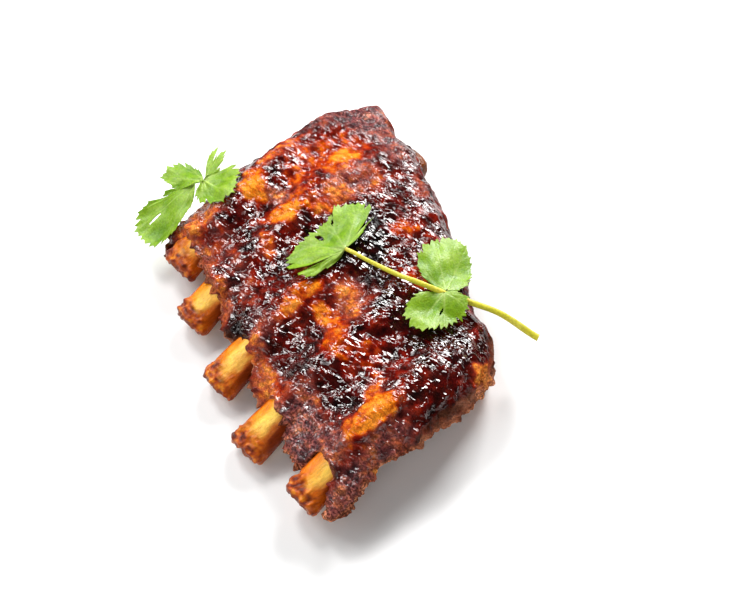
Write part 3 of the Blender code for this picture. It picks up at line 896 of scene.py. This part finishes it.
def make_leaf(name, tree, leaf, seed, cover):
    """(points, faces, colours) of one leaflet, which passes over the stem's top line given as its cover."""
    base, tips, slits = leaf
    root = row_point(*base)
    turns, lengths = lobe_directions(root, tips)
    angles = np.linspace(turns[0] - LEAF_END, turns[-1] + LEAF_END, LEAF_WIDTH)
    full = leaf_outline(angles, turns, lengths, seed)
    soft = running_mean(full, 16) * 0.97
    out, full = np.meshgrid(np.linspace(0.03, 1, LEAF_ROWS + 1), full, indexing="ij")
    soft, angle = np.broadcast_to(soft, out.shape), np.broadcast_to(angles, out.shape)
    reach = out * (full + (np.minimum(soft, 1.9 * full) - full) * (1 - out))
    z = leaf_heights(name, tree, root, out, angle, out * soft, reach, seed, cover)
    x, y = (root[0] + reach * np.cos(angle)).ravel(), (root[1] + reach * np.sin(angle)).ravel()
    x, y = np.clip(x, cad_low[0], cad_high[0]), np.clip(y, cad_low[1], cad_high[1])
    out, angle, reach = out.ravel(), angle.ravel(), reach.ravel()
    veins = leaf_veins(turns, lengths, angle, reach)
    z = above(tree, x, y, z, LEAF_CLEARANCE) - VEIN_DEPTH * veins
    z = np.minimum(z, cad_high[2] - LEAF_THICKNESS)
    upper = np.stack([x, y, z + LEAF_THICKNESS / 2], axis=1)
    lower = np.stack([x, y, z - LEAF_THICKNESS / 2], axis=1)
    flat = np.stack([x, y, np.full(len(x), seed * 0.01)], axis=1)
    # Painted light and shade: the colour follows the swell that lifts the leaf, lighter on its raised folds and darker
    # in its hollows, with random tone, and a painted paler rim along the edge
    swell = layers(flat, ((1.0, 11, seed), (0.5, 5, seed + 1)))
    tone = 0.47 + 0.34 * swell + 0.22 * noise(flat, 2.2, seed + 3) + 0.12 * smooth(0.9, 1.0, out)
    colour = blend_colours(LEAF_STOPS, np.clip(tone, 0, 1))
    colour = towards(colour, VEIN, 0.55 * veins + 0.6 * np.exp(-((reach / MM / 3.0) ** 2)))
    points, colours = np.concatenate([upper, lower]), np.concatenate([colour, colour * 1.1])
    return points, leaf_faces(upper, slits), colours


def curve_through(points, count):
    """Points along a smooth curve through the given ones."""
    ends = np.array([points[0], *points, points[-1]], float)
    found = []
    for place in np.linspace(0, len(points) - 1, count + 1):
        first = min(int(place), len(points) - 2)
        u = place - first
        a, b, c, d = ends[first : first + 4]
        bend = (2 * a - 5 * b + 4 * c - d) * u**2 + (3 * b - a - 3 * c + d) * u**3
        found.append((2 * b + (c - a) * u + bend) / 2)
    return np.array(found)


def stem_line(name, tree, places, count):
    """The middle line of a stem, laid over the meat."""
    plan = curve_through(places, count)
    x, y = row_point(plan[:, 0], plan[:, 1])
    edges = np.array([(n, n + 1) for n in range(count)])
    z = above(tree, x, y, guide_heights(name, x, y), STEM_LIFT[0])
    z = above(tree, x, y, relax(z[:, None], edges, 40)[:, 0], STEM_LIFT[1])
    z = np.minimum(relax(z[:, None], edges, 6)[:, 0], cad_high[2] - STEM_ROOM)
    return np.stack([x, y, z], axis=1)


def make_stem(name, tree, sprig, seed):
    """(points, faces, colours) of a ribbed, tapering stem, and the line along its top."""
    count, sides = sprig["steps"], STEM_SIDES
    centres = stem_line(name, tree, sprig["stem"], count)
    ahead = np.gradient(centres, axis=0)
    ahead /= np.linalg.norm(ahead, axis=1)[:, None]
    side = np.cross(ahead, (0, 0, 1))
    side /= np.linalg.norm(side, axis=1)[:, None]
    up = np.cross(side, ahead)
    radius = MM * (np.linspace(*sprig["radius"], count + 1) + 0.06 * noise(centres, 7, seed))
    points, painted_top_light = [], []
    for step in range(sides):
        angle = 2 * pi * step / sides
        ribbed = radius * (1 + RIB_HEIGHT * cos(STEM_RIBS * angle))
        points.append(centres + ribbed[:, None] * (side * cos(angle) + up * sin(angle)))
        painted_top_light.append(np.full(count + 1, sin(angle)))
    points = np.stack(points, axis=1).reshape(-1, 3)
    painted_top_light = np.stack(painted_top_light, axis=1).ravel()
    faces = []
    for ring, step in np.ndindex(count, sides):
        a, b = ring * sides + step, ring * sides + (step + 1) % sides
        faces.append([a, b, b + sides, a + sides])
    faces.append(list(range(sides))[::-1])
    faces.append([count * sides + step for step in range(sides)])
    # Painted light: the stem's top is lighter and its underside darker, over random tone
    tone = 0.55 + 0.25 * noise(points, 8, seed + 5) + 0.15 * painted_top_light + 0.12 * noise(points, 2, seed + 6)
    tops = centres + (0, 0, 1) * radius[:, None]
    return points, faces, blend_colours(sprig["stops"], np.clip(tone, 0, 1)), tops


def leaf_material():
    sh = Shader(
        "coriander",
        Specular_IOR_Level=0.35,
        Subsurface_Weight=0.12,
        Subsurface_Radius=(0.4, 1.0, 0.2),
        Subsurface_Scale=1 * MM,
    )
    grain = sh.noise(sh.place(0.7), 2, 0.6)
    net = sh.noise(sh.place(1.6), 2, 0.5, 0.5)
    sh.to("Base Color", sh.shaded(sh.attribute("tone", True), sh.ramp(grain, 0.3, 0.7, 0.85, 1.15)))
    sh.to("Normal", sh.bump(sh.times_plus(net, 1.0, grain), 0.3 * MM, 0.5))
    sh.to("Roughness", sh.ramp(net, 0.3, 0.7, 0.34, 0.48))
    return sh.material


def make_sprig(name, piece, tree, material, seed):
    """One sprig as one piece: its stem and its leaflets, laid over the meat."""
    sprig = SPRIGS[name]
    *stem, tops = make_stem(name, tree, sprig, seed)
    parts = [stem]
    for n, leaf in enumerate(sprig["leaves"], 1):
        lies_over = "lies_over" in sprig and leaf[0][0] > sprig["lies_over"]
        cover = tops[slab(tops)[0] > sprig["covered_from"]] if lies_over else None
        parts.append(make_leaf(name, tree, leaf, seed + 10 * n, cover))
    points, faces = joined([part[:2] for part in parts])
    mesh = mesh_of(name + "_look", points, faces)
    store(mesh, "tone", np.clip(np.concatenate([part[2] for part in parts]), 0, 1))
    mesh.shade_smooth()
    mesh.set_sharp_from_angle(angle=radians(60))
    finish_piece(piece, mesh, material, name)


# ---------------------------------------------------------------- stage

# Softboxes: heading from +X and height in degrees, distance and side in metres, radiance, and whether gloss shows it
MIDDLE = Vector((0, 0, 0.02))
STUDIO = [
    ("key", 130, 33, 0.85, 0.36, 27.0, True),
    ("back", 186, 51, 0.85, 0.22, 23.0, True),
    ("front", -34, 30, 1.30, 1.10, 1.9, False),
    ("side", -105, 36, 1.20, 0.70, 1.8, False),
    ("tips", -140, 47, 0.85, 0.34, 8.5, True),
]
WORLD_STRENGTH = 0.10
FLOOR_HALF = 4
FLOOR_COLOURS, FLOOR_MOTTLE, FLOOR_ROUGHNESS = ((0.86, 0.86, 0.855), (0.88, 0.88, 0.878)), 60, 0.7
CAMERA_TARGET = Vector((0.00998, 0.00983, 0.02277))
CAMERA_HEADING, CAMERA_HEIGHT, CAMERA_DISTANCE = -25.5, 55, 0.68116
CAMERA_LENS, CAMERA_SENSOR = 90, 36


def place_round(obj, target, heading, height, distance):
    """Puts an object at a heading and height in degrees and a distance from the target, and turns it to face that."""
    heading, height = radians(heading), radians(height)
    away = Vector((cos(heading) * cos(height), sin(heading) * cos(height), sin(height)))
    obj.location = target + distance * away
    obj.rotation_euler = (target - obj.location).to_track_quat("-Z", "Y").to_euler()
    scene.collection.objects.link(obj)


def make_floor():
    """A plain pale floor, faintly mottled."""
    sh = Shader("pale_floor", Roughness=FLOOR_ROUGHNESS)
    sh.to("Base Color", sh.mix(sh.noise(sh.place(FLOOR_MOTTLE), 2, 0.5), *FLOOR_COLOURS))
    corners = [(x * FLOOR_HALF, y * FLOOR_HALF, 0) for x, y in ((-1, -1), (1, -1), (1, 1), (-1, 1))]
    floor = link("floor", mesh_of("floor", corners, [[0, 1, 2, 3]]))
    floor.data.materials.append(sh.material)


def make_lights():
    """Soft studio light from softboxes and a weak white sky that the gloss doesn't show."""
    world = bpy.data.worlds.new("studio")
    scene.world = world
    world.use_nodes = True
    background = world.node_tree.nodes["Background"]
    background.inputs["Color"].default_value = (1, 1, 1, 1)
    background.inputs["Strength"].default_value = WORLD_STRENGTH
    world.cycles_visibility.glossy = False
    for name, heading, height, distance, size, radiance, in_gloss in STUDIO:
        light = bpy.data.lights.new(name, "AREA")
        light.shape = "SQUARE"
        light.size = size
        light.energy = radiance * pi * size * size
        obj = bpy.data.objects.new(name, light)
        obj.visible_glossy = in_gloss
        place_round(obj, MIDDLE, heading, height, distance)


def make_camera():
    camera = bpy.data.cameras.new("camera")
    camera.lens, camera.sensor_width = CAMERA_LENS, CAMERA_SENSOR
    obj = bpy.data.objects.new("camera", camera)
    place_round(obj, CAMERA_TARGET, CAMERA_HEADING, CAMERA_HEIGHT, CAMERA_DISTANCE)
    scene.camera = obj


scene.view_settings.view_transform = "Standard"
scene.view_settings.look = "None"
make_camera()
make_floor()
make_lights()
meat_skin = make_meat()
bone_looks = bone_material()
for bone_number in range(1, len(BONE_PLACES) + 1):
    make_bone(bone_number, bone_looks)
meat_tree = BVHTree.FromPolygons([tuple(p) for p in points_of(meat_skin)], faces_of(meat_skin))
leaf_looks = leaf_material()
make_sprig("sprig_long", "coriander_long", meat_tree, leaf_looks, 100)
make_sprig("sprig_short", "coriander_short", meat_tree, leaf_looks, 200)

bpy.context.view_layer.update()
